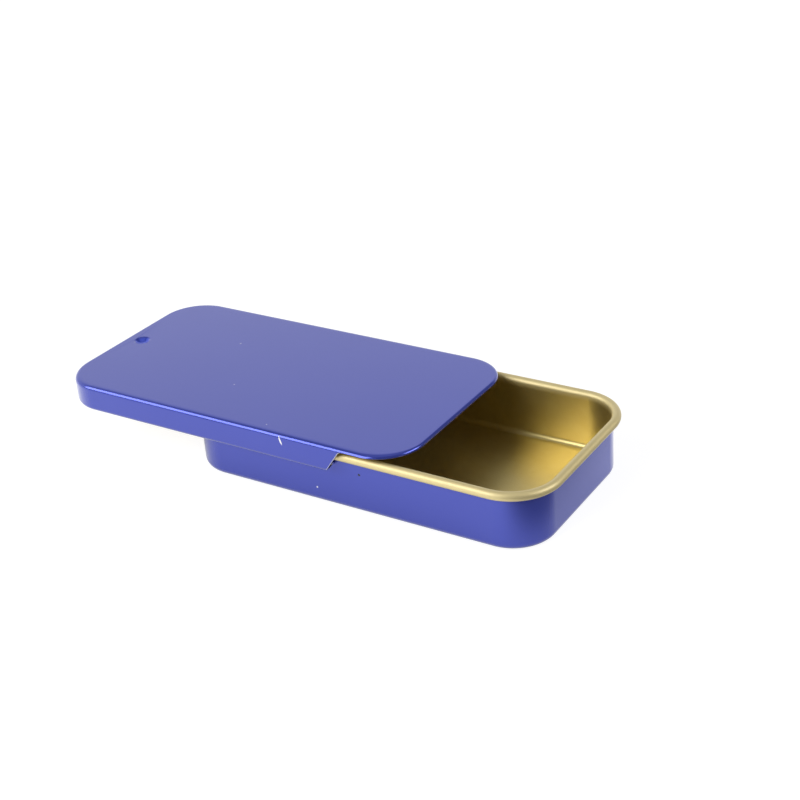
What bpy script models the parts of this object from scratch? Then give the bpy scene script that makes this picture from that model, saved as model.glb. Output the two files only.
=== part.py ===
"""Sliding lid tin: a tray with a rolled bead, and a lid whose curled runners hook under that bead.

Lengths are in metres, +Z is up, and the tray stands on z = 0 with its middle at the origin.
The lid slides along X: towards +X it shuts the tin, and towards -X it opens it. It is modelled
partly open.
"""

from math import acos, cos, degrees, pi, radians, sin, sqrt, tan

import bmesh
import bpy
from mathutils import Vector

# The lacquered tinplate that both pieces are pressed from
SHEET = 0.00025

# The tray, measured over its bead
RIM_LENGTH = 0.0600
RIM_WIDTH = 0.0318
RIM_HEIGHT = 0.00945
CORNER_RADIUS = 0.0074
BEAD_DIAMETER = 0.00135
BOTTOM_BEND = 0.0011

# The lid
LID_REACH = 0.00125  # how far its open end stands past the bead when the tin is shut
HEADROOM = 0.0009  # from the bead up to the underside of its top
TOP_BEND = 0.0007
LIP_BEND = 0.0004  # the tighter bend at its open end
LIP_DEPTH = 0.0005  # the turned-down edge round its open end
CORNER_EASE = 0.0012  # how much tighter its corners are than a bend drawn round the bead's
SKIRT_STOP = 0.0097  # from its open end back to where the skirt stops, measured at the lip
SKIRT_SLANT = 35.0  # degrees that the skirt's end leans from upright
NOTCH_RADIUS = 0.0007  # in the corner between the lip and the skirt's end
DIMPLE_DIAMETER = 0.0028
DIMPLE_OVERLAP = 0.0001  # of the dimple's rim over the bead when the tin is shut
LID_OPENING = 0.0215  # how far the lid is slid open

# Clearances
RUN_GAP = 0.0003  # between the lid and all of the tray that it slides past
ROLL_GAP = 0.0003  # between a roll's cut edge and the wall that it curls back to

# How far a cutter runs past what it cuts
OVERRUN = 0.0020

# Facets
CORNER_STEPS = 10
BEND_STEPS = 6
ROLL_STEPS = 16
NOTCH_STEPS = 6
DIMPLE_POINTS = 24
DIMPLE_RINGS = 6
SHARP_ANGLE = 35.0

# Finishes, as numbers of material slots, with colours as linear light
BLUE, GOLD, RAW = range(3)
BLUE_COLOUR = (0.115, 0.130, 0.480, 1.0)
GOLD_COLOUR = (0.560, 0.400, 0.100, 1.0)
RAW_COLOUR = (0.600, 0.600, 0.620, 1.0)


def finish(name, colour, metallic, roughness):
    """A Principled material of one colour."""
    material = bpy.data.materials.new(name)
    material.use_nodes = True
    shader = material.node_tree.nodes["Principled BSDF"]
    shader.inputs["Base Color"].default_value = colour
    shader.inputs["Metallic"].default_value = metallic
    shader.inputs["Roughness"].default_value = roughness
    material.diffuse_color = colour
    return material


def tin_finishes():
    """Blue outside, gold inside, and bare steel where the sheet was cut."""
    return [
        finish("blue_lacquer", BLUE_COLOUR, 0.3, 0.35),
        finish("gold_lacquer", GOLD_COLOUR, 0.9, 0.35),
        finish("cut_edge", RAW_COLOUR, 1.0, 0.30),
    ]


def bend(centre, radius, start, turn, steps, inside=False):
    """Stations of the blue face round one bend of the sheet's section.

    The section lies in a plane with x outwards and y up. Each station is a point of the blue
    face and the direction that the face looks. The face is on the outside of the bend, or on
    its inside. Angles are in degrees, from outwards towards up.
    """
    stations = []
    for step in range(steps + 1):
        angle = radians(start + turn * step / steps)
        away = Vector((cos(angle), sin(angle)))
        stations.append((centre + away * radius, -away if inside else away))
    return stations


def roll_turn(roll_radius, wall_distance):
    """Degrees past straight down that a roll goes on before its edge is ROLL_GAP from the wall.

    wall_distance is from the roll's centre to the face of the wall that it curls back to.
    """
    return 90 - degrees(acos((wall_distance - ROLL_GAP) / roll_radius))


def rounded_outline(length, width, radius, out, end_out, height):
    """Points of a rounded rectangle, anticlockwise from its +X side.

    It is grown outwards by out, but at its +X end by end_out.
    """
    points = []
    for corner, (side_x, side_y) in enumerate(((1, 1), (-1, 1), (-1, -1), (1, -1))):
        centre = Vector(
            (side_x * (length / 2 - radius), side_y * (width / 2 - radius), height)
        )
        along = radius + (end_out if side_x > 0 else out)
        across = radius + out
        for step in range(CORNER_STEPS + 1):
            angle = radians(90 * (corner + step / CORNER_STEPS))
            points.append(centre + Vector((along * cos(angle), across * sin(angle), 0)))
    return points


def add_band(bm, first, second, slot):
    """Quads between two rings with the same number of points."""
    count = len(first)
    for i in range(count):
        j = (i + 1) % count
        face = bm.faces.new((first[i], first[j], second[j], second[i]))
        face.material_index = slot


def same_at_the_end(place, slot):
    """How far a piece's +X end stands out whose section is the same all round."""
    return place.x


def add_sheet(bm, stations, length, width, radius, blue_side_up, end_out=same_at_the_end):
    """Carries a section round a rounded rectangle. Returns its innermost blue and gold rings.

    The stations run outwards from the flat panel to the sheet's cut edge. The closed outline of
    the section follows one face to the cut edge and the other face back. What end_out gives for
    a place of the section and its face is how far the +X end stands out there.
    """
    blue = [(point, BLUE) for point, _ in stations]
    gold = [(point - facing * SHEET, GOLD) for point, facing in stations]
    outline = gold + blue[::-1] if blue_side_up else blue + gold[::-1]
    rings = [
        [
            bm.verts.new(point)
            for point in rounded_outline(
                length, width, radius, place.x, end_out(place, slot), place.y
            )
        ]
        for place, slot in outline
    ]
    for i in range(len(rings) - 1):
        slot, next_slot = outline[i][1], outline[i + 1][1]
        add_band(bm, rings[i], rings[i + 1], slot if slot == next_slot else RAW)
    return (rings[-1], rings[0]) if blue_side_up else (rings[0], rings[-1])


def new_object(name, bm, finishes):
    """Turns a closed bmesh into a smooth-shaded object in the scene."""
    bmesh.ops.recalc_face_normals(bm, faces=bm.faces)
    mesh = bpy.data.meshes.new(name)
    bm.to_mesh(mesh)
    bm.free()
    for material in finishes:
        mesh.materials.append(material)
    mesh.shade_smooth()
    mesh.set_sharp_from_angle(angle=radians(SHARP_ANGLE))
    obj = bpy.data.objects.new(name, mesh)
    bpy.context.scene.collection.objects.link(obj)
    return obj


# The bead is the top of the tray's wall, rolled outwards and down. What hooks under it has to
# fit beside the wall, in the room under the bead's overhang.
BEAD_RADIUS = BEAD_DIAMETER / 2
OVERHANG = BEAD_DIAMETER - SHEET


def tray_section():
    """Blue face of the tray: bottom bend, upright wall, then the inside of the rolled bead."""
    bottom = bend(
        Vector((-OVERHANG - BOTTOM_BEND, BOTTOM_BEND)), BOTTOM_BEND, -90, 90, BEND_STEPS
    )
    past_bottom = roll_turn(BEAD_RADIUS, OVERHANG - BEAD_RADIUS)
    bead = bend(
        Vector((-BEAD_RADIUS, RIM_HEIGHT - BEAD_RADIUS)),
        BEAD_RADIUS - SHEET,
        180,
        -270 - past_bottom,
        ROLL_STEPS,
        inside=True,
    )
    return bottom + bead


def add_tray(finishes):
    """The drawn tray, blue outside and gold inside, with its gold bead."""
    bm = bmesh.new()
    blue_ring, gold_ring = add_sheet(
        bm, tray_section(), RIM_LENGTH, RIM_WIDTH, CORNER_RADIUS, blue_side_up=False
    )
    for ring, slot in ((blue_ring, BLUE), (gold_ring, GOLD)):
        bm.faces.new(ring).material_index = slot
    return new_object("base_tray", bm, finishes)


# The lid's sides clear the bead by the running gap, and its length comes from the tray's.
LID_LENGTH = RIM_LENGTH + SHEET + RUN_GAP + LID_REACH
LID_WIDTH = RIM_WIDTH + 2 * (SHEET + RUN_GAP)
LID_CORNER = CORNER_RADIUS + SHEET + RUN_GAP - CORNER_EASE
LID_TOP = RIM_HEIGHT + HEADROOM + SHEET

# The runner is the skirt's edge curled inwards. It fills the room between the skirt and the
# tray's wall but for the running gap, and runs just below the bead.
SKIRT_TO_WALL = SHEET + RUN_GAP + OVERHANG
RUNNER_DIAMETER = SKIRT_TO_WALL - RUN_GAP
RUNNER_RADIUS = RUNNER_DIAMETER / 2
SKIRT_FOOT = RIM_HEIGHT - BEAD_DIAMETER - RUN_GAP - RUNNER_DIAMETER

# The dimple drops behind the bead's inner side when the tin is shut. It clears the bead that it
# slides over on the way.
DIMPLE_DEPTH = HEADROOM - RUN_GAP
DIMPLE_RADIUS = DIMPLE_DIAMETER / 2
DIMPLE_X = SHEET + RUN_GAP + BEAD_DIAMETER - DIMPLE_OVERLAP + DIMPLE_RADIUS - LID_LENGTH / 2

# Where the middle of the lid stands, shut and as modelled
SHUT_X = (LID_LENGTH - RIM_LENGTH) / 2 - SHEET - RUN_GAP
REST_X = SHUT_X - LID_OPENING


def lid_section():
    """Blue face of the lid: the bend from the top, the skirt, then the runner's outside."""
    top = bend(Vector((-TOP_BEND, LID_TOP - TOP_BEND)), TOP_BEND, 90, -90, BEND_STEPS)
    past_bottom = roll_turn(RUNNER_RADIUS, RUNNER_RADIUS - SHEET)
    runner = bend(
        Vector((-RUNNER_RADIUS, SKIRT_FOOT + RUNNER_RADIUS)),
        RUNNER_RADIUS,
        0,
        -270 - past_bottom,
        ROLL_STEPS,
    )
    return top + runner


def lip_out(place, slot):
    """How far the lid's open end stands out, on one face, where its sides are at this place.

    Above the end of the sides' bend, the open end has its own tighter bend at the same height.
    """
    if place.y < LID_TOP - TOP_BEND:
        return place.x
    radius = LIP_BEND if slot == BLUE else LIP_BEND - SHEET
    rise = min(max(place.y - (LID_TOP - LIP_BEND), 0), radius)
    return sqrt(radius**2 - rise**2) - LIP_BEND


def add_dimpled_panel(bm, ring, height, slot):
    """Closes one face of the lid's flat top, with the latch dimple pressed down into it.

    The dimple is a bowl whose rim and bottom are eased.
    """
    circles = []
    for step in range(DIMPLE_RINGS):
        radius_share = 1 - step / DIMPLE_RINGS
        depth_share = (1 - radius_share**3) ** 2
        radius = DIMPLE_RADIUS * radius_share
        circle = []
        for i in range(DIMPLE_POINTS):
            angle = 2 * pi * i / DIMPLE_POINTS
            x = DIMPLE_X + radius * cos(angle)
            z = height - DIMPLE_DEPTH * depth_share
            circle.append(bm.verts.new((x, radius * sin(angle), z)))
        circles.append(circle)
    for outer, inner in zip(circles, circles[1:]):
        add_band(bm, outer, inner, slot)
    bm.faces.new(circles[-1]).material_index = slot
    edges = [
        bm.edges.get((loop[i - 1], loop[i]))
        for loop in (ring, circles[0])
        for i in range(len(loop))
    ]
    filled = bmesh.ops.triangle_fill(bm, edges=edges, use_beauty=True)
    for item in filled["geom"]:
        if isinstance(item, bmesh.types.BMFace):
            item.material_index = slot


def open_end_profile():
    """What is cut from the lid's open end, seen from the side: all that lies below the lip.

    Its near edge leans like the skirt's end, and is rounded where it meets the lip.
    """
    slant = radians(SKIRT_SLANT)
    lip_foot = LID_TOP - LIP_DEPTH
    below = SKIRT_FOOT - OVERRUN
    past = LID_LENGTH / 2 + OVERRUN
    corner = Vector((LID_LENGTH / 2 - SKIRT_STOP, lip_foot))
    tangent = NOTCH_RADIUS / tan((pi / 2 + slant) / 2)
    centre = corner + Vector((tangent, -NOTCH_RADIUS))
    points = [Vector((corner.x - (corner.y - below) * tan(slant), below))]
    for step in range(NOTCH_STEPS + 1):
        angle = pi - slant - (pi / 2 - slant) * step / NOTCH_STEPS
        points.append(centre + NOTCH_RADIUS * Vector((cos(angle), sin(angle))))
    return points + [Vector((past, lip_foot)), Vector((past, below))]


def add_open_end_cutter(finishes):
    """A bar across the lid with the cut's profile. Its faces leave bare steel behind."""
    bm = bmesh.new()
    side = LID_WIDTH / 2 + OVERRUN
    verts = [bm.verts.new((p.x, -side, p.y)) for p in open_end_profile()]
    face = bm.faces.new(verts)
    across = bmesh.ops.extrude_face_region(bm, geom=[face])
    moved = [item for item in across["geom"] if isinstance(item, bmesh.types.BMVert)]
    bmesh.ops.translate(bm, verts=moved, vec=(0, 2 * side, 0))
    for face in bm.faces:
        face.material_index = RAW
    cutter = new_object("open_end_cutter", bm, finishes)
    cutter.hide_render = True
    cutter.display_type = "WIRE"
    return cutter


def add_lid(finishes):
    """The lid: a drawn shell with a curled edge, its open end cut away below the lip."""
    bm = bmesh.new()
    blue_ring, gold_ring = add_sheet(
        bm, lid_section(), LID_LENGTH, LID_WIDTH, LID_CORNER, blue_side_up=True, end_out=lip_out
    )
    add_dimpled_panel(bm, blue_ring, LID_TOP, BLUE)
    add_dimpled_panel(bm, gold_ring, LID_TOP - SHEET, GOLD)
    lid = new_object("sliding_lid", bm, finishes)
    cutter = add_open_end_cutter(finishes)
    cutter.parent = lid
    cut = lid.modifiers.new("open_end", "BOOLEAN")
    cut.operation = "DIFFERENCE"
    cut.solver = "EXACT"
    cut.object = cutter
    lid.location.x = REST_X
    return lid


def main():
    for obj in list(bpy.data.objects):
        bpy.data.objects.remove(obj)
    finishes = tin_finishes()
    add_tray(finishes)
    add_lid(finishes)


main()
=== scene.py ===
# %% [markdown]
# # A sliding lid tin, partly open
#
# This small flat tin has two pieces, and each is one pressing of lacquered tinplate. The tray is
# drawn from a flat blank, and the top of its wall is rolled outwards into a bead. The lid is a
# shallow pressing whose edge is curled inwards. The curl runs under the bead, so the lid slides
# along the tray and doesn't lift off. The sheet was lacquered flat before it was pressed, blue
# on one side and gold on the other, so every place where it was cut shows a line of bare steel.
#
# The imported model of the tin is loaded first. It holds the sizes and the motion, and nothing
# here moves it. The two finer pieces that are made below stand where its two nodes stand.

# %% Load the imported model
from math import acos, cos, degrees, pi, radians, sin, tan

import bmesh
import bpy
from mathutils import Matrix, Vector


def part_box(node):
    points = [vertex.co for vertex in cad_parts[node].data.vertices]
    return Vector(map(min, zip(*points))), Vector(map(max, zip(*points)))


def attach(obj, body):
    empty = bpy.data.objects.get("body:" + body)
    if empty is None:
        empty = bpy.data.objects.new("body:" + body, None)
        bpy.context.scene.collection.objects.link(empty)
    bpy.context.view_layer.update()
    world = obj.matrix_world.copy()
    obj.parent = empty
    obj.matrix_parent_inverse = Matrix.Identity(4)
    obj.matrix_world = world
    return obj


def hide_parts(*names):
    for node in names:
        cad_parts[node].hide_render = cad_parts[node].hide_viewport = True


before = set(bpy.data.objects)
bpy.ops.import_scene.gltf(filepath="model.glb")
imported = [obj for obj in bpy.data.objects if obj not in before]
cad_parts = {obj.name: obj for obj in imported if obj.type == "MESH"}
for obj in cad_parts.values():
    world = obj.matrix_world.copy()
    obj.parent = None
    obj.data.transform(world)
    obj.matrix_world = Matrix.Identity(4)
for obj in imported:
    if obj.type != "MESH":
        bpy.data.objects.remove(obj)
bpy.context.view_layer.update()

# %% [markdown]
# ## Sizes
#
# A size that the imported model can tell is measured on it, so that the pieces made here keep
# fitting it. The tray's box gives the length, width and height over the bead. The lid's box
# gives its length, its width, its top and the foot of its curl. What is left is what a box
# can't tell, such as the sheet's thickness and the radius of each bend.

# %% Sizes
MM = 0.001

tray_low, tray_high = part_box("base_tray")
RIM_LENGTH = tray_high.x - tray_low.x
RIM_WIDTH = tray_high.y - tray_low.y
RIM_HEIGHT = tray_high.z

lid_low, lid_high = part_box("sliding_lid")
LID_LENGTH = lid_high.x - lid_low.x
LID_WIDTH = lid_high.y - lid_low.y
LID_MIDDLE = (lid_low.x + lid_high.x) / 2
LID_TOP = lid_high.z
SKIRT_FOOT = lid_low.z

SHEET = 0.25 * MM
BEAD_DIAMETER = 1.35 * MM
RUNNER_DIAMETER = 1.35 * MM
ROLL_GAP = 0.3 * MM
TRAY_CORNER = 7.4 * MM
LID_CORNER = 6.75 * MM
BOTTOM_BEND = 1.1 * MM
TOP_BEND = 0.7 * MM
LIP_BEND = 0.4 * MM
LIP_DEPTH = 0.5 * MM
CROWN_WIDTH = 0.45 * MM
CROWN_SLOPE = radians(5)
SKIRT_STOP = 9.7 * MM
SKIRT_SLANT = radians(35)
NOTCH_RADIUS = 0.7 * MM
DIMPLE_DIAMETER = 2.8 * MM
DIMPLE_DEPTH = 0.6 * MM
DIMPLE_FROM_END = 3.2 * MM

print("tray over the bead, mm:", [round(x / MM, 3) for x in (RIM_LENGTH, RIM_WIDTH, RIM_HEIGHT)])
print("lid, mm:", [round(x / MM, 3) for x in (LID_LENGTH, LID_WIDTH, LID_TOP)])

# %% [markdown]
# ## Picking by place
#
# An edit operator acts on all that is selected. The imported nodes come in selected, and a new
# primitive is selected all over, so each step starts from nothing. Then it picks vertices,
# edges or faces by where they are, as a hand does with a box or a loop select.

# %% Helpers for editing
def edit(obj):
    """Makes obj the only selected object and opens it in edit mode, with nothing picked."""
    if bpy.context.mode != "OBJECT":
        bpy.ops.object.mode_set(mode="OBJECT")
    bpy.ops.object.select_all(action="DESELECT")
    obj.select_set(True)
    bpy.context.view_layer.objects.active = obj
    bpy.ops.object.mode_set(mode="EDIT")
    bpy.ops.mesh.select_all(action="DESELECT")


def pick(obj, kind, test):
    """Picks the verts, edges or faces that pass a test, and nothing else. Returns how many."""
    bpy.ops.mesh.select_all(action="DESELECT")
    bpy.ops.mesh.select_mode(type=kind)
    bm = bmesh.from_edit_mesh(obj.data)
    items = {"VERT": bm.verts, "EDGE": bm.edges, "FACE": bm.faces}[kind]
    found = [item for item in items if test(item)]
    for item in found:
        item.select_set(True)
    bm.select_flush_mode()
    bmesh.update_edit_mesh(obj.data)
    return len(found)


def is_border(edge):
    """On the open border of the sheet."""
    return len(edge.link_faces) == 1


def close_to(place, reach):
    """A test for what lies no further than reach from a place, measured to the vertices."""
    def test(item):
        verts = item.verts if hasattr(item, "verts") else [item]
        return all((v.co - place).length < reach for v in verts)
    return test


def finish_with(obj, kind, **settings):
    """Adds a modifier with these settings and applies it."""
    modifier = obj.modifiers.new(kind.lower(), kind)
    for name, value in settings.items():
        setattr(modifier, name, value)
    bpy.context.view_layer.objects.active = obj
    bpy.ops.object.modifier_apply(modifier=modifier.name)


# %% [markdown]
# ## The blank
#
# Both pieces start, as in the press shop, with a flat blank with round corners. In Blender that
# is a plane whose four corners are beveled: a bevel of vertices turns each corner into an arc
# whose radius is the bevel's offset. A narrow inset round the edge keeps the flat middle flat
# where its shading meets the first bend.

# %% Flat blanks
CORNER_STEPS = 28
FLAT_MARGIN = 0.25 * MM


def add_blank(name, middle, length, width, corner):
    """A flat sheet with round corners, its middle at a place."""
    bpy.ops.object.select_all(action="DESELECT")
    bpy.ops.mesh.primitive_plane_add(size=1, location=middle)
    blank = bpy.context.object
    blank.name = blank.data.name = name
    blank.scale = (length, width, 1)
    bpy.ops.object.transform_apply(location=True, rotation=True, scale=True)
    edit(blank)
    bpy.ops.mesh.select_all(action="SELECT")
    bpy.ops.mesh.bevel(
        offset=corner, offset_type="OFFSET", segments=CORNER_STEPS, affect="VERTICES"
    )
    return blank


# %% [markdown]
# ## Leading the border through the bends
#
# A drawn wall, a rolled bead and a curl are all the same job: the border of the sheet is led
# through a section, and the section runs the same all round. The border is extruded a small
# step at a time. A round corner can't be moved sideways as a straight side can, it has to grow
# about its own centre, so each step also scales the four corners, one at a time, each about the
# middle of its arc. The straight sides are carried along by their ends. Because a step stays at
# one height, a corner can be scaled by one amount along the tin and by another across it, and
# then an end gets a bend of its own and the corner turns smoothly from one bend into the other.

# %% Sections and the border
def arc(centre, radius, start, turn, steps):
    """Points of a section round a bend. Angles are in degrees, from outwards towards up."""
    angles = [radians(start + turn * step / steps) for step in range(1, steps + 1)]
    return [(centre[0] + radius * cos(a), centre[1] + radius * sin(a)) for a in angles]


def roll_turn(radius, wall_distance):
    """Degrees past straight down at which a roll's edge is ROLL_GAP short of the wall."""
    return 90 - degrees(acos((wall_distance - ROLL_GAP) / radius))


def grow_corners(obj, middle_x, length, width, radius, before, after):
    """Scales the picked ring's four corners, each about its own centre.

    Before and after are how far the ring stands out from a rounded rectangle of this length,
    width and radius, at its sides, at its -X end and at its +X end.
    """
    bm = bmesh.from_edit_mesh(obj.data)
    ring = [v for v in bm.verts if v.select]
    across, *along = [(radius + b) / (radius + a) for a, b in zip(before, after)]
    for end, side_x in enumerate((-1, 1)):
        for side_y in (-1, 1):
            for v in ring:
                here = (v.co.x - middle_x) * side_x > 0 and v.co.y * side_y > 0
                v.select_set(here)
            bm.select_flush_mode()
            bpy.ops.transform.resize(
                value=(along[end], across, 1),
                center_override=(
                    middle_x + side_x * (length / 2 - radius),
                    side_y * (width / 2 - radius),
                    ring[0].co.z,
                ),
            )
    for v in ring:
        v.select_set(True)
    bm.select_flush_mode()


def lead_border(obj, section, start, middle_x, length, width, radius, ends=None):
    """Extrudes the picked border through a section, from the place where it starts.

    A place of the section is how far the border stands out at the sides, and its height. The
    ends have the same section, unless ends gives how far both stand out at a height. Returns
    how many steps were made.
    """
    ends = ends or (lambda up: None)
    out, up = start
    for next_out, next_up in section:
        bpy.ops.mesh.extrude_region_move(
            TRANSFORM_OT_translate={"value": (0, 0, next_up - up)}
        )
        before = (out, *(ends(up) or (out, out)))
        after = (next_out, *(ends(next_up) or (next_out, next_out)))
        grow_corners(obj, middle_x, length, width, radius, before, after)
        out, up = next_out, next_up
    return len(section)


# %% [markdown]
# ## The tray
#
# The tray is drawn from its blank: a tight round bend, an upright wall, and the bead, which is
# the top of the wall rolled outwards until its cut edge nearly meets the wall again. What is
# modelled is the blue face alone. It is the outside of the tray, and it runs on round the inside
# of the bead.

# %% The tray's blue face
BEND_STEPS = 12
ROLL_STEPS = 36
BEAD_RADIUS = BEAD_DIAMETER / 2
OVERHANG = BEAD_DIAMETER - SHEET

floor_out = -OVERHANG - BOTTOM_BEND
bead_centre = (-BEAD_RADIUS, RIM_HEIGHT - BEAD_RADIUS)
bead_turn = 270 + roll_turn(BEAD_RADIUS, OVERHANG - BEAD_RADIUS)
tray_section = (
    arc((floor_out, BOTTOM_BEND), BOTTOM_BEND, -90, 90, BEND_STEPS)
    + [(-OVERHANG, RIM_HEIGHT - BEAD_RADIUS)]
    + arc(bead_centre, BEAD_RADIUS - SHEET, 180, -bead_turn, ROLL_STEPS)
)

tray = add_blank(
    "tin_tray",
    (0, 0, 0),
    RIM_LENGTH + 2 * floor_out,
    RIM_WIDTH + 2 * floor_out,
    TRAY_CORNER + floor_out,
)
bpy.ops.mesh.flip_normals()
bpy.ops.mesh.inset(thickness=FLAT_MARGIN)
pick(tray, "EDGE", is_border)
steps = lead_border(
    tray, tray_section, (floor_out, 0), 0, RIM_LENGTH, RIM_WIDTH, TRAY_CORNER
)
bpy.ops.object.mode_set(mode="OBJECT")
print("tray: border led through", steps, "steps,", len(tray.data.polygons), "faces")

# %% [markdown]
# ## The latch dimple
#
# The lid's blank has one thing more, the latch dimple near its closed end. It is pressed down
# into the top, and drops behind the bead when the tin is shut. A circle is added to the flat
# top, the sheet between it and the edge is filled, and the circle is inset ring by ring, each
# ring a little lower. The depths make a bowl whose rim and bottom are eased, as a round-nosed
# punch leaves them.

# %% Pressing the dimple
DIMPLE_POINTS = 48
DIMPLE_RINGS = 12


def press_dimple(obj, place):
    """Presses the latch dimple into the flat face that is being edited."""
    bpy.ops.mesh.select_all(action="SELECT")
    bpy.ops.mesh.delete(type="ONLY_FACE")
    bpy.ops.mesh.primitive_circle_add(
        vertices=DIMPLE_POINTS, radius=DIMPLE_DIAMETER / 2, location=place
    )
    bpy.ops.mesh.select_all(action="SELECT")
    bpy.ops.mesh.fill(use_beauty=True)
    pick(obj, "EDGE", close_to(place, DIMPLE_DIAMETER))
    bpy.ops.mesh.edge_face_add()
    bpy.ops.mesh.select_all(action="SELECT")
    bpy.ops.mesh.normals_make_consistent(inside=False)
    bpy.ops.mesh.inset(thickness=FLAT_MARGIN)
    pick(obj, "FACE", close_to(place, DIMPLE_DIAMETER))
    depths = [(1 - (1 - ring / DIMPLE_RINGS) ** 3) ** 2 for ring in range(DIMPLE_RINGS)]
    for shallow, deep in zip(depths, depths[1:]):
        drop = DIMPLE_DEPTH * (deep - shallow)
        bpy.ops.mesh.inset(thickness=DIMPLE_DIAMETER / 2 / DIMPLE_RINGS, depth=-drop)


# %% [markdown]
# ## The lid's section
#
# Along its long sides the lid's top is slightly crowned: over the last half millimetre it
# falls away by up to five degrees before the tighter bend, which draws the deep blue line above
# the long highlight there. The closed end has a plain round bend, because the dimple leaves no
# room for a crown, and the open end a tighter one, where the lip was wiped down over a sharp
# die. Below the bends the section is the same all round: the skirt, then the curl inwards.

# %% The section at the sides and at the ends
CROWN_STEPS = 6
RUNNER_RADIUS = RUNNER_DIAMETER / 2
SKIRT_MIDDLE = (LID_TOP + SKIRT_FOOT) / 2

crown_radius = CROWN_WIDTH / sin(CROWN_SLOPE)
crown_drop = crown_radius * (1 - cos(CROWN_SLOPE))
flat_out = -TOP_BEND * (1 - sin(CROWN_SLOPE)) - CROWN_WIDTH
bend_centre = (-TOP_BEND, LID_TOP - crown_drop - TOP_BEND * cos(CROWN_SLOPE))
runner_centre = (-RUNNER_RADIUS, SKIRT_FOOT + RUNNER_RADIUS)
runner_turn = 270 + roll_turn(RUNNER_RADIUS, RUNNER_RADIUS - SHEET)
crown_turn = degrees(CROWN_SLOPE)
lid_section = (
    arc((flat_out, LID_TOP - crown_radius), crown_radius, 90, -crown_turn, CROWN_STEPS)
    + arc(bend_centre, TOP_BEND, 90 - crown_turn, crown_turn - 90, BEND_STEPS)
    + [(0, SKIRT_FOOT + RUNNER_RADIUS)]
    + arc(runner_centre, RUNNER_RADIUS, 0, -runner_turn, ROLL_STEPS)
)


def rounded_edge(up, bend):
    """How far a plain round bend from the top stands out at a height."""
    height = max(up - LID_TOP + bend, 0)
    return (bend**2 - height**2) ** 0.5 - bend


def lid_ends(up):
    """How far the closed end and the open end stand out, where they differ from the sides."""
    return (rounded_edge(up, TOP_BEND), rounded_edge(up, LIP_BEND)) if up > SKIRT_MIDDLE else None


print("crown falls", round(crown_drop / MM, 3), "mm before the bend")

# %% [markdown]
# ## The lid
#
# The blank is as large as the flat part between the crowns. Its two ends are first let out to
# where their own bends begin, then the dimple is pressed, and then the border is led round the
# bends, down the skirt, and inwards into the curl.

# %% The lid's blue face
lid = add_blank(
    "tin_lid",
    (LID_MIDDLE, 0, LID_TOP),
    LID_LENGTH + 2 * flat_out,
    LID_WIDTH + 2 * flat_out,
    LID_CORNER + flat_out,
)
pick(lid, "EDGE", is_border)
grow_corners(
    lid,
    LID_MIDDLE,
    LID_LENGTH,
    LID_WIDTH,
    LID_CORNER,
    (flat_out, flat_out, flat_out),
    (flat_out, *lid_ends(LID_TOP)),
)
press_dimple(lid, Vector((lid_low.x + DIMPLE_FROM_END, 0, LID_TOP)))
pick(lid, "EDGE", is_border)
steps = lead_border(
    lid,
    lid_section,
    (flat_out, LID_TOP),
    LID_MIDDLE,
    LID_LENGTH,
    LID_WIDTH,
    LID_CORNER,
    lid_ends,
)
bpy.ops.object.mode_set(mode="OBJECT")
print("lid: border led through", steps, "steps,", len(lid.data.polygons), "faces")

# %% [markdown]
# ## Finishes, in the order of the slots
#
# Each piece carries three finishes: blue lacquer on one face of the sheet, gold lacquer on the
# other, and bare steel where the sheet was cut. The slots are made now, because the next step
# uses them, and the materials go in later.

# %% Slots
BLUE, GOLD, RAW = range(3)
for piece in (tray, lid):
    for _ in (BLUE, GOLD, RAW):
        piece.data.materials.append(None)
    print(piece.name, "has", len(piece.data.materials), "slots")

# %% [markdown]
# ## Giving the sheet its thickness
#
# Solidify is made for sheet metal. It keeps the face that was modelled, adds the other face one
# thickness behind it, and closes the cut edge between them. Its material offsets put the new
# face and the cut edge in the gold and the steel slots, so no face is painted by hand.

# %% Thickness
for piece in (tray, lid):
    finish_with(
        piece,
        "SOLIDIFY",
        thickness=SHEET,
        offset=-1,
        use_even_offset=True,
        material_offset=GOLD,
        material_offset_rim=RAW,
    )
    print(piece.name, "as sheet metal:", len(piece.data.polygons), "faces")

# %% [markdown]
# ## Cutting the lid's open end
#
# Round its open end the lid has no skirt, only a shallow turned-down lip, or it couldn't pass
# over the tray. The skirt and the curl stop short of that end on a slanting cut, with a small
# round where the cut meets the lip. A block in the shape of what is cut away is shaped from a
# cube: its lower edge is pulled back for the slant, and the edge that makes the corner is
# beveled. The Boolean then leaves the block's steel slot on the cut.

# %% The open end
OVERRUN = 2 * MM
NOTCH_STEPS = 10

lip_foot = LID_TOP - LIP_DEPTH
block_low = Vector((lid_high.x - SKIRT_STOP, -LID_WIDTH / 2 - OVERRUN, SKIRT_FOOT - OVERRUN))
block_high = Vector((lid_high.x + OVERRUN, LID_WIDTH / 2 + OVERRUN, lip_foot))
bpy.ops.object.select_all(action="DESELECT")
bpy.ops.mesh.primitive_cube_add(size=1, location=(block_low + block_high) / 2)
block = bpy.context.object
block.scale = block_high - block_low
bpy.ops.object.transform_apply(location=True, rotation=True, scale=True)

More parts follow.
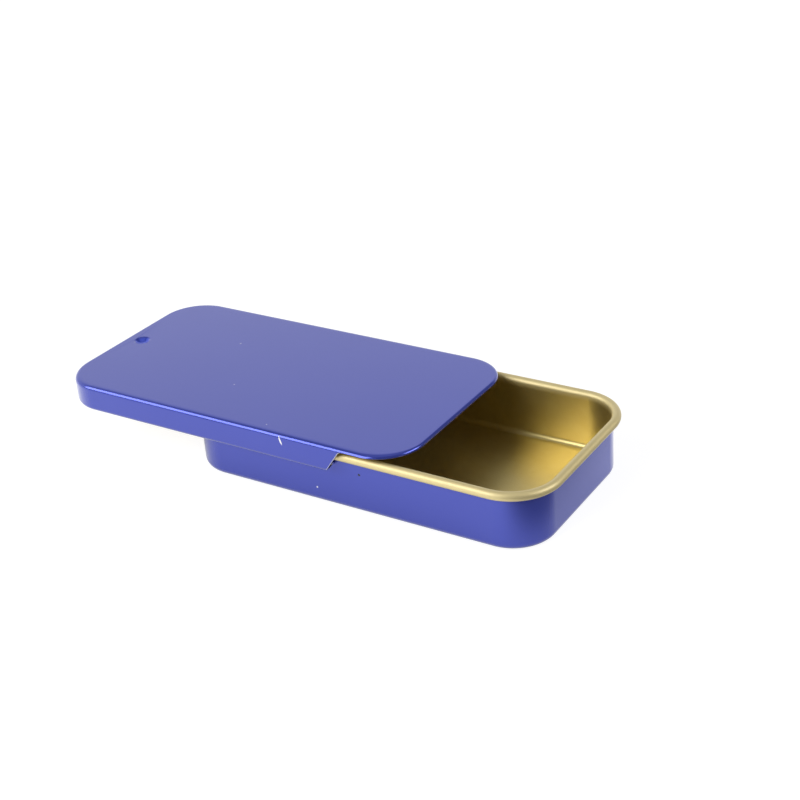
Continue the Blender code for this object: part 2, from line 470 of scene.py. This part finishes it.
edit(block)
near = block_low.x + SHEET
pick(block, "VERT", lambda v: v.co.x < near and v.co.z < SKIRT_FOOT)
lean = (block_high.z - block_low.z) * tan(SKIRT_SLANT)
bpy.ops.transform.translate(value=(-lean, 0, 0))
pick(block, "EDGE", lambda e: all(v.co.x < near and v.co.z > SKIRT_FOOT for v in e.verts))
corner_share = 1 / tan((pi / 2 + SKIRT_SLANT) / 2)
bpy.ops.mesh.bevel(offset=NOTCH_RADIUS * corner_share, segments=NOTCH_STEPS)
bpy.ops.object.mode_set(mode="OBJECT")
for _ in (BLUE, GOLD, RAW):
    block.data.materials.append(None)
for face in block.data.polygons:
    face.material_index = RAW

finish_with(lid, "BOOLEAN", operation="DIFFERENCE", solver="EXACT", object=block)
bpy.data.objects.remove(block)
print("lid after the cut:", len(lid.data.polygons), "faces")

# %% [markdown]
# ## Dulling the cut
#
# A fresh cut is knocked over in a tumbler so that it doesn't scratch. That takes the lacquer off
# along the blue face's edge as well, and the bare corner shows as a pale hairline round the
# notch. Here it is a very small bevel of the edges where the blue face meets the cut, and the
# bevel's new faces go straight into the steel slot.

# %% Dulling the cut
EDGE_DULLING = 0.07 * MM


def is_cut_edge(edge):
    """Between the blue face and the bare cut."""
    return {face.material_index for face in edge.link_faces} == {BLUE, RAW}


edit(lid)
found = pick(lid, "EDGE", is_cut_edge)
bpy.ops.mesh.bevel(offset=EDGE_DULLING, segments=2, material=RAW)
bpy.ops.object.mode_set(mode="OBJECT")
print("dulled", found, "edges,", len(lid.data.polygons), "faces")

# %% [markdown]
# ## Smooth bends and crisp cuts
#
# Every bend is shaded smooth, and a cut edge stays sharp. Weighted normals let each large flat
# face decide the shading at its border, so a wall looks flat right up to where it bends.

# %% Shading
SHARP_ANGLE = radians(40)
for piece in (tray, lid):
    bpy.ops.object.select_all(action="DESELECT")
    piece.select_set(True)
    bpy.context.view_layer.objects.active = piece
    bpy.ops.object.shade_smooth_by_angle(angle=SHARP_ANGLE)
    finish_with(piece, "WEIGHTED_NORMAL", mode="FACE_AREA", keep_sharp=True)
    sharp = sum(edge.use_edge_sharp for edge in piece.data.edges)
    print(piece.name, "keeps", sharp, "sharp edges")

# %% [markdown]
# ## Colours and nodes
#
# Colours are written as they look, in the usual hex form, and turned to linear light in one
# place. One small function adds a node, sets it and links it. Patterns are sized in real
# millimetres: a noise texture's scale is how many of its lumps fit into a metre.

# %% Helpers for materials
SHARE, FIRST, SECOND = 0, 6, 7  # a colour Mix node's sockets, which share their names


def linear(hex_colour):
    """Linear light, with alpha, from an sRGB hex colour."""
    parts = [int(hex_colour[i : i + 2], 16) / 255 for i in (1, 3, 5)]
    return tuple(
        c / 12.92 if c <= 0.04045 else ((c + 0.055) / 1.055) ** 2.4 for c in parts
    ) + (1.0,)


def per_metre(millimetres):
    """The scale of a texture whose pattern is this large."""
    return 1 / (millimetres * MM)


def add_node(tree, kind, inputs=None, **settings):
    """Adds a node. Each input is given a value or a socket to link."""
    node = tree.nodes.new(kind)
    for name, value in settings.items():
        setattr(node, name, value)
    for name, value in (inputs or {}).items():
        if isinstance(value, bpy.types.NodeSocket):
            tree.links.new(value, node.inputs[name])
        else:
            node.inputs[name].default_value = value
    return node


def new_material(name):
    """An empty material. Returns it with its tree, its shader and its Object coordinates."""
    material = bpy.data.materials.new(name)
    material.use_nodes = True
    tree = material.node_tree
    coordinates = add_node(tree, "ShaderNodeTexCoord").outputs["Object"]
    return material, tree, tree.nodes["Principled BSDF"], coordinates


# %% [markdown]
# ## Chips and specks
#
# A tin that rubs against others in a bin loses small chips of lacquer. This one has a white
# scratch across the edge of its skirt, a black and a white speck on the tray's front wall, a
# pale one at the tray's near corner and a few more on top. The latch dimple gets a mark too,
# but that one is painted light: the hollow is painted a brighter blue, which lifts the shade
# that falls in it. Each mark is a small ellipsoid in space: a Mapping node set to Texture
# moves, turns and scales it to a unit ball, and the distance from the ball's middle makes a
# mask with a soft rim. Made like this, a mark needs no picture and has its real size.

# %% Marks in the lacquer
FULL_MARK = 0.7  # the share of a mark's half size within which it is at full strength


def add_mark(tree, place, centre, half_sizes, lean):
    """A mask that is 1 inside a small ellipsoid, which leans about Y by some degrees."""
    ball = add_node(
        tree,
        "ShaderNodeMapping",
        {
            "Vector": place,
            "Location": centre,
            "Rotation": (0, radians(lean), 0),
            "Scale": half_sizes,
        },
        vector_type="TEXTURE",
    )
    reach = add_node(
        tree, "ShaderNodeVectorMath", {0: ball.outputs["Vector"]}, operation="LENGTH"
    )
    mask = add_node(
        tree,
        "ShaderNodeMapRange",
        {"Value": reach.outputs["Value"], "From Min": 1.0, "From Max": FULL_MARK},
    )
    return mask.outputs["Result"]


def mark(colour, x, y, z, half_x, half_y, half_z, lean=0.0):
    """What one mark is: its colour, its middle and half sizes in millimetres, and its lean."""
    return colour, Vector((x, y, z)) * MM, Vector((half_x, half_y, half_z)) * MM, lean


wall = (tray_low.y + OVERHANG) / MM
skirt = lid_low.y / MM
top = LID_TOP / MM
tray_marks = [
    mark("#020202", 2.0, wall, 6.2, 0.24, 0.3, 0.19, lean=20),  # the black speck in front
    mark("#ffffff", -5.4, wall, 2.4, 0.15, 0.3, 0.15),  # the white one below it
    mark("#8e90c8", 27.2, -11.6, 8.0, 0.25, 0.5, 0.2),  # the pale one at the near corner
]
dimple = (lid_low.x + DIMPLE_FROM_END) / MM
lid_marks = [
    mark("#ffffff", -9.8, skirt, top - 0.95, 0.15, 0.5, 0.75, lean=-20),  # the scratch
    # painted light: the dimple is painted a brighter blue, which lifts the shade in its hollow
    mark("#3f56d8", dimple, 0, top - 0.4, 1.5, 1.5, 0.6),
    mark("#a4a6d6", -33.2, 5.5, top, 0.18, 0.18, 0.3),  # this and the next two: specks on top
    mark("#a4a6d6", -25.3, -6.5, top, 0.14, 0.14, 0.3),
    mark("#a4a6d6", -13.3, -14.7, top, 0.14, 0.14, 0.3),
]
print("marks in the lacquer:", len(tray_marks), "on the tray,", len(lid_marks), "on the lid")

# %% [markdown]
# ## Blue lacquer on tinplate
#
# The outside is a baked blue lacquer, rolled on and stoved before the sheet was pressed. It is
# thin and slightly see-through, so some of the tin's shine comes back through it with the blue
# in it. That is why the walls look a deeper blue than the top: the metallic share mirrors the
# white table into them, and the top sees a dimmer room. Over it lies a smooth clear skin, the
# coat, whose reflection is white and grows towards grazing views, which pales the top. A cloud
# of 9 mm gives the roller's faint unevenness, and a bump 1 mm from lump to lump its orange peel.

# %% Blue lacquer
CLOUD_SIZE, PEEL_SIZE = 9, 1  # in mm, as all sizes of patterns
PEEL_HEIGHT = 0.002 * MM


def add_blue_lacquer(name, marks):
    """Blue lacquer with marks in it."""
    material, tree, shader, place = new_material(name)
    cloud = add_node(
        tree,
        "ShaderNodeTexNoise",
        {"Vector": place, "Scale": per_metre(CLOUD_SIZE), "Detail": 3.0},
    )
    tone = add_node(
        tree,
        "ShaderNodeMix",
        {FIRST: linear("#3947b3"), SECOND: linear("#3d4bb7"), SHARE: cloud.outputs["Fac"]},
        data_type="RGBA",
    )
    for colour, *where in marks:
        mask = add_mark(tree, place, *where)
        tone = add_node(
            tree,
            "ShaderNodeMix",
            {FIRST: tone.outputs[2], SECOND: linear(colour), SHARE: mask},
            data_type="RGBA",
        )
    peel = add_node(
        tree,
        "ShaderNodeTexNoise",
        {"Vector": place, "Scale": per_metre(PEEL_SIZE), "Detail": 1.0},
    )
    bump = add_node(
        tree,
        "ShaderNodeBump",
        {"Height": peel.outputs["Fac"], "Strength": 1.0, "Distance": PEEL_HEIGHT},
    )
    tree.links.new(tone.outputs[2], shader.inputs["Base Color"])
    tree.links.new(bump.outputs["Normal"], shader.inputs["Normal"])
    shader.inputs["Metallic"].default_value = 0.6
    shader.inputs["Roughness"].default_value = 0.22
    shader.inputs["Coat Weight"].default_value = 0.72
    shader.inputs["Coat Roughness"].default_value = 0.12
    shader.inputs["Coat IOR"].default_value = 1.5
    print("made", name, "with", len(marks), "marks")
    return material


# %% [markdown]
# ## Gold lacquer on tinplate
#
# The inside has a clear lacquer tinted with amber over the bright tin. All its colour is in the
# reflection, as in a metal. The tin's crystals, a quarter of a millimetre across, break the
# reflection up into a grain, and a blotch of 2.5 mm shifts its tone. Over the bead the lacquer
# was stretched and rubbed by the rolls, so it is duller on the bead's upper half. That half is
# also painted a paler gold, a painted highlight for the light that falls on the top of the bead.
# The height of the place, from its Object coordinates, tells the bead from the wall.

# %% Gold lacquer
BLOTCH_SIZE, GRAIN_SIZE = 2.5, 0.25
GRAIN_HEIGHT = 0.014 * MM
WALL_ROUGHNESS, BEAD_ROUGHNESS = 0.4, 0.62


def add_gold_lacquer(name):
    """Gold lacquer, duller over the bead, whose upper half gets a painted highlight in a paler
    gold.
    """
    material, tree, shader, place = new_material(name)
    blotch = add_node(
        tree,
        "ShaderNodeTexNoise",
        {"Vector": place, "Scale": per_metre(BLOTCH_SIZE), "Detail": 4.0, "Roughness": 0.65},
    )
    tone = add_node(
        tree,
        "ShaderNodeMix",
        {FIRST: linear("#d2bd76"), SECOND: linear("#dccb8a"), SHARE: blotch.outputs["Fac"]},
        data_type="RGBA",
    )
    height = add_node(tree, "ShaderNodeSeparateXYZ", {"Vector": place}).outputs["Z"]
    rubbed_and_painted_highlight = add_node(
        tree,
        "ShaderNodeMapRange",
        {
            "Value": height,
            "From Min": RIM_HEIGHT - BEAD_DIAMETER,
            "From Max": RIM_HEIGHT - BEAD_RADIUS,
        },
    ).outputs["Result"]
    # painted highlight: above the bead's middle the gold is painted paler, for the light that
    # falls on its top
    tone = add_node(
        tree,
        "ShaderNodeMix",
        {FIRST: tone.outputs[2], SECOND: linear("#dfd09d"), SHARE: rubbed_and_painted_highlight},
        data_type="RGBA",
    )
    roughness = add_node(
        tree,
        "ShaderNodeMapRange",
        {"Value": rubbed_and_painted_highlight, "To Min": WALL_ROUGHNESS, "To Max": BEAD_ROUGHNESS},
    )
    grain = add_node(
        tree,
        "ShaderNodeTexNoise",
        {"Vector": place, "Scale": per_metre(GRAIN_SIZE), "Detail": 2.0},
    )
    bump = add_node(
        tree,
        "ShaderNodeBump",
        {"Height": grain.outputs["Fac"], "Strength": 1.0, "Distance": GRAIN_HEIGHT},
    )
    tree.links.new(tone.outputs[2], shader.inputs["Base Color"])
    tree.links.new(roughness.outputs["Result"], shader.inputs["Roughness"])
    tree.links.new(bump.outputs["Normal"], shader.inputs["Normal"])
    shader.inputs["Metallic"].default_value = 1.0
    shader.inputs["Coat Weight"].default_value = 0.6
    shader.inputs["Coat Roughness"].default_value = 0.3
    print("made", name)
    return material


# %% [markdown]
# ## Cut steel
#
# The shears leave a bright edge of bare steel with fine drag marks down the cut. The marks are a
# noise of 0.06 mm that is drawn out to five times its size in height. They vary the tone and the
# roughness, so the hairline glints unevenly.

# %% Cut steel
DRAG_SIZE, DRAG_STRETCH = 0.06, 5


def add_cut_steel(name):
    """Bare steel with the shears' drag marks."""
    material, tree, shader, place = new_material(name)
    drawn_out = add_node(
        tree, "ShaderNodeMapping", {"Vector": place, "Scale": (1, 1, 1 / DRAG_STRETCH)}
    )
    drag = add_node(
        tree,
        "ShaderNodeTexNoise",
        {"Vector": drawn_out.outputs["Vector"], "Scale": per_metre(DRAG_SIZE), "Detail": 2.0},
    )
    tone = add_node(
        tree,
        "ShaderNodeMix",
        {FIRST: linear("#b4b4b8"), SECOND: linear("#e2e2e6"), SHARE: drag.outputs["Fac"]},
        data_type="RGBA",
    )
    roughness = add_node(
        tree,
        "ShaderNodeMapRange",
        {"Value": drag.outputs["Fac"], "To Min": 0.25, "To Max": 0.45},
    )
    tree.links.new(tone.outputs[2], shader.inputs["Base Color"])
    tree.links.new(roughness.outputs["Result"], shader.inputs["Roughness"])
    shader.inputs["Metallic"].default_value = 1.0
    print("made", name)
    return material


# %% [markdown]
# ## Putting the finishes into the slots
#
# Both pieces share the gold and the steel. Each has a blue of its own, because its marks are at
# places of its own.

# %% Finishes into the slots
tray_finishes = [
    add_blue_lacquer("blue_lacquer_of_the_tray", tray_marks),
    add_gold_lacquer("gold_lacquer_on_tinplate"),
    add_cut_steel("sheared_steel_edge"),
]
lid_finishes = [add_blue_lacquer("blue_lacquer_of_the_lid", lid_marks), *tray_finishes[1:]]
for piece, finishes in ((tray, tray_finishes), (lid, lid_finishes)):
    for slot, material in enumerate(finishes):
        piece.data.materials[slot] = material
    print(piece.name, "has", [material.name for material in piece.data.materials])

# %% [markdown]
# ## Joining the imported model
#
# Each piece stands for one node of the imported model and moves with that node's body, so the lid
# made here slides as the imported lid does.

# %% Ride on the bodies
for piece, node, body, slot_name in (
    (tray, "base_tray", "tray", "tray_lacquer"),
    (lid, "sliding_lid", "lid", "lid_lacquer"),
):
    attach(piece, body)
    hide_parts(node)
    print(piece.name, "stands for", node)

# %% [markdown]
# ## Camera
#
# The camera stands where the photograph was taken from: on the open end's side, a little over
# 27 degrees above the table, close to the tin, so that its far end looks smaller. A way from the
# tin, here and for the room and the lamps later, is given by its elevation and by an azimuth
# that starts in front of the long side and grows towards the open end.

# %% Camera
CAMERA_AZIMUTH = radians(33.692)
CAMERA_ELEVATION = radians(27.423)
CAMERA_ROLL = radians(-4.3)
CAMERA_TARGET = Vector((-5.9625, 8.698, 4.9)) * MM
CAMERA_DISTANCE = 226.75 * MM
CAMERA_LENS = 66.975


def way_towards(azimuth, elevation=0.0):
    """A way from the tin. Azimuth 0 is in front, and a quarter turn is past the open end."""
    return Vector(
        (
            sin(azimuth) * cos(elevation),
            -cos(azimuth) * cos(elevation),
            sin(elevation),
        )
    )


back = way_towards(CAMERA_AZIMUTH, CAMERA_ELEVATION)
right = Vector((cos(CAMERA_AZIMUTH), sin(CAMERA_AZIMUTH), 0))
up = back.cross(right)
turned_right = right * cos(CAMERA_ROLL) + up * sin(CAMERA_ROLL)
turned_up = up * cos(CAMERA_ROLL) - right * sin(CAMERA_ROLL)

camera_data = bpy.data.cameras.new("camera")
camera_data.lens = CAMERA_LENS
camera_data.sensor_width = 36
camera_data.clip_start = 0.01
camera_data.clip_end = 10
camera = bpy.data.objects.new("camera", camera_data)
bpy.context.scene.collection.objects.link(camera)
camera.matrix_world = Matrix.Translation(CAMERA_TARGET + back * CAMERA_DISTANCE) @ Matrix(
    (turned_right, turned_up, back)
).transposed().to_4x4()
bpy.context.scene.camera = camera
print("camera, mm:", [round(x / MM, 1) for x in camera.location], "lens", CAMERA_LENS)

# %% [markdown]
# ## Floor
#
# The tin stands on a large sheet of plain white paper, a single plane.

# %% Floor
FLOOR_SIZE = 4.0

bpy.ops.object.select_all(action="DESELECT")
bpy.ops.mesh.primitive_plane_add(size=FLOOR_SIZE, location=(0, 0, 0))
floor = bpy.context.object
floor.name = "studio_floor"
print("floor:", FLOOR_SIZE, "m")

# %% [markdown]
# ## What the tin mirrors of the floor
#
# White paper is what the walls mirror, so the paper glows for shiny surfaces, or they would
# mirror a grey floor. The glow is held back close round the tin, where a real floor lies in the
# tin's own shade: Ambient Occlusion tells how much of the sky a place sees. It also ends past
# the tin's open end, where the real table ends in a dim room. That makes the wall's foot deeper
# than its top, and the near corner the darkest of all.

# %% The glow for shiny surfaces
SHADE_REACH, SHADE_POWER = 18 * MM, 0.5
LIT_SIDE = radians(-97)
LIT_FROM, LIT_TO = -41 * MM, -25 * MM

paper, tree, shader, place = new_material("white_paper")
rays = add_node(tree, "ShaderNodeLightPath")
along = add_node(
    tree, "ShaderNodeVectorMath", {0: place, 1: way_towards(LIT_SIDE)}, operation="DOT_PRODUCT"
)
lit = add_node(
    tree,
    "ShaderNodeMapRange",
    {"Value": along.outputs["Value"], "From Min": LIT_FROM, "From Max": LIT_TO},
    interpolation_type="SMOOTHSTEP",
)
shade = add_node(tree, "ShaderNodeAmbientOcclusion", {"Distance": SHADE_REACH}, samples=4)
shade = add_node(
    tree, "ShaderNodeMath", {0: shade.outputs["AO"], 1: SHADE_POWER}, operation="POWER"
)
mirrored = add_node(
    tree, "ShaderNodeMath", {0: lit.outputs["Result"], 1: shade.outputs[0]}, operation="MULTIPLY"
)
mirrored = add_node(
    tree,
    "ShaderNodeMath",
    {0: mirrored.outputs[0], 1: rays.outputs["Is Glossy Ray"]},
    operation="MULTIPLY",
)
print("the glow that the tin mirrors ends", -LIT_FROM / MM, "mm from the middle")

# %% [markdown]
# ## What the camera sees of the floor
#
# For the camera the paper is white, and still it takes the tin's shadow: it glows a little less
# than white, and the lamps do the rest. Away from the tin, where the lamps don't reach, the glow
# grows to full white, so that the paper meets the white background without a line.

# %% The glow for the camera
PAPER_GLOW = 0.85
GLOW_FROM, GLOW_TO = 0.15, 0.6

away = add_node(tree, "ShaderNodeVectorMath", {0: place}, operation="LENGTH")
white = add_node(
    tree,
    "ShaderNodeMapRange",
    {
        "Value": away.outputs["Value"],
        "From Min": GLOW_FROM,
        "From Max": GLOW_TO,
        "To Min": PAPER_GLOW,
        "To Max": 1.0,
    },
)
seen = add_node(
    tree,
    "ShaderNodeMath",
    {0: rays.outputs["Is Camera Ray"], 1: white.outputs["Result"]},
    operation="MULTIPLY",
)
glow = add_node(
    tree, "ShaderNodeMath", {0: seen.outputs[0], 1: mirrored.outputs[0]}, operation="MAXIMUM"
)
tree.links.new(glow.outputs[0], shader.inputs["Emission Strength"])
shader.inputs["Emission Color"].default_value = linear("#ffffff")
shader.inputs["Base Color"].default_value = linear("#a0a0a0")
shader.inputs["Roughness"].default_value = 0.9
shader.inputs["Specular IOR Level"].default_value = 0.0
floor.data.materials.append(paper)
print("glow for the camera:", PAPER_GLOW, "near the tin, 1 from", GLOW_TO, "m on")

# %% [markdown]
# ## The room
#
# Lacquer shows the room as much as the lamps. Here the room is plain grey, and for shiny
# surfaces a white backdrop stands behind the tin and to its left. The lid's top mirrors it, and
# so does the gold inside. Straight above, the ceiling is paler than the room, or the tin would
# look dull when it is seen from above. For the camera all of the background is white.

# %% Room
ROOM_LEVEL = 0.2
BACKDROP_LEVEL = 0.9
BACKDROP_WAY = way_towards(radians(-125), radians(-35))
BACKDROP_FROM, BACKDROP_TO = -0.25, 0.35
CEILING_LEVEL = 0.55
CEILING_FROM, CEILING_TO = 0.75, 0.97

world = bpy.data.worlds.new("studio")
world.use_nodes = True
tree = world.node_tree
rays = add_node(tree, "ShaderNodeLightPath")
way = add_node(tree, "ShaderNodeTexCoord").outputs["Generated"]
towards = add_node(
    tree, "ShaderNodeVectorMath", {0: way, 1: BACKDROP_WAY}, operation="DOT_PRODUCT"
)
backdrop = add_node(
    tree,
    "ShaderNodeMapRange",
    {
        "Value": towards.outputs["Value"],
        "From Min": BACKDROP_FROM,
        "From Max": BACKDROP_TO,
        "To Min": ROOM_LEVEL,
        "To Max": BACKDROP_LEVEL,
    },
    interpolation_type="SMOOTHSTEP",
)
height = add_node(tree, "ShaderNodeSeparateXYZ", {"Vector": way}).outputs["Z"]
ceiling = add_node(
    tree,
    "ShaderNodeMapRange",
    {
        "Value": height,
        "From Min": CEILING_FROM,
        "From Max": CEILING_TO,
        "To Max": CEILING_LEVEL,
    },
    interpolation_type="SMOOTHSTEP",
)
mirrored = add_node(
    tree,
    "ShaderNodeMath",
    {0: backdrop.outputs["Result"], 1: ceiling.outputs["Result"]},
    operation="MAXIMUM",
)
mirrored = add_node(
    tree,
    "ShaderNodeMath",
    {0: mirrored.outputs[0], 1: rays.outputs["Is Glossy Ray"]},
    operation="MULTIPLY",
)
mirrored = add_node(
    tree, "ShaderNodeMath", {0: mirrored.outputs[0], 1: ROOM_LEVEL}, operation="MAXIMUM"
)
level = add_node(
    tree,
    "ShaderNodeMath",
    {0: mirrored.outputs[0], 1: rays.outputs["Is Camera Ray"]},
    operation="MAXIMUM",
)
background = tree.nodes["Background"]
tree.links.new(level.outputs[0], background.inputs["Strength"])
background.inputs["Color"].default_value = linear("#ffffff")
bpy.context.scene.world = world
print("room level", ROOM_LEVEL, "and backdrop", BACKDROP_LEVEL)

# %% [markdown]
# ## Lamps
#
# Two softboxes light the tin. The key stands in front of the long side, to the left of the
# camera: it lights the walls, draws the highlight along the lid's edge, and reaches under the
# lid's open end as far as the bright part of the gold. A weaker one past the open end lights the
# end wall.

# %% Lamps
def add_softbox(name, azimuth, elevation, distance, wide, high, power):
    """A rectangular lamp that looks at the tin, placed by two angles in degrees."""
    away = way_towards(radians(azimuth), radians(elevation))
    data = bpy.data.lights.new(name, "AREA")
    data.shape = "RECTANGLE"
    data.size, data.size_y = wide, high
    data.energy = power
    lamp = bpy.data.objects.new(name, data)
    lamp.location = away * distance
    lamp.rotation_mode = "QUATERNION"
    lamp.rotation_quaternion = away.to_track_quat("Z", "Y")
    bpy.context.scene.collection.objects.link(lamp)
    print(name, "gives", power, "W from", azimuth, "degrees")


SOFTBOX_DISTANCE = 0.6
add_softbox("key_softbox", -34, 32, SOFTBOX_DISTANCE, wide=0.6, high=0.34, power=2.75)
add_softbox("end_softbox", 103, 30, SOFTBOX_DISTANCE, wide=0.4, high=0.3, power=1.6)

# %% [markdown]
# ## Plain colours
#
# The Standard view transform shows a colour as it is, and white paper white. The others darken
# or pale bright colours, which suits a scene with a wider range of light than this one.

# %% View transform
bpy.context.scene.view_settings.view_transform = "Standard"
print("view transform:", bpy.context.scene.view_settings.view_transform)
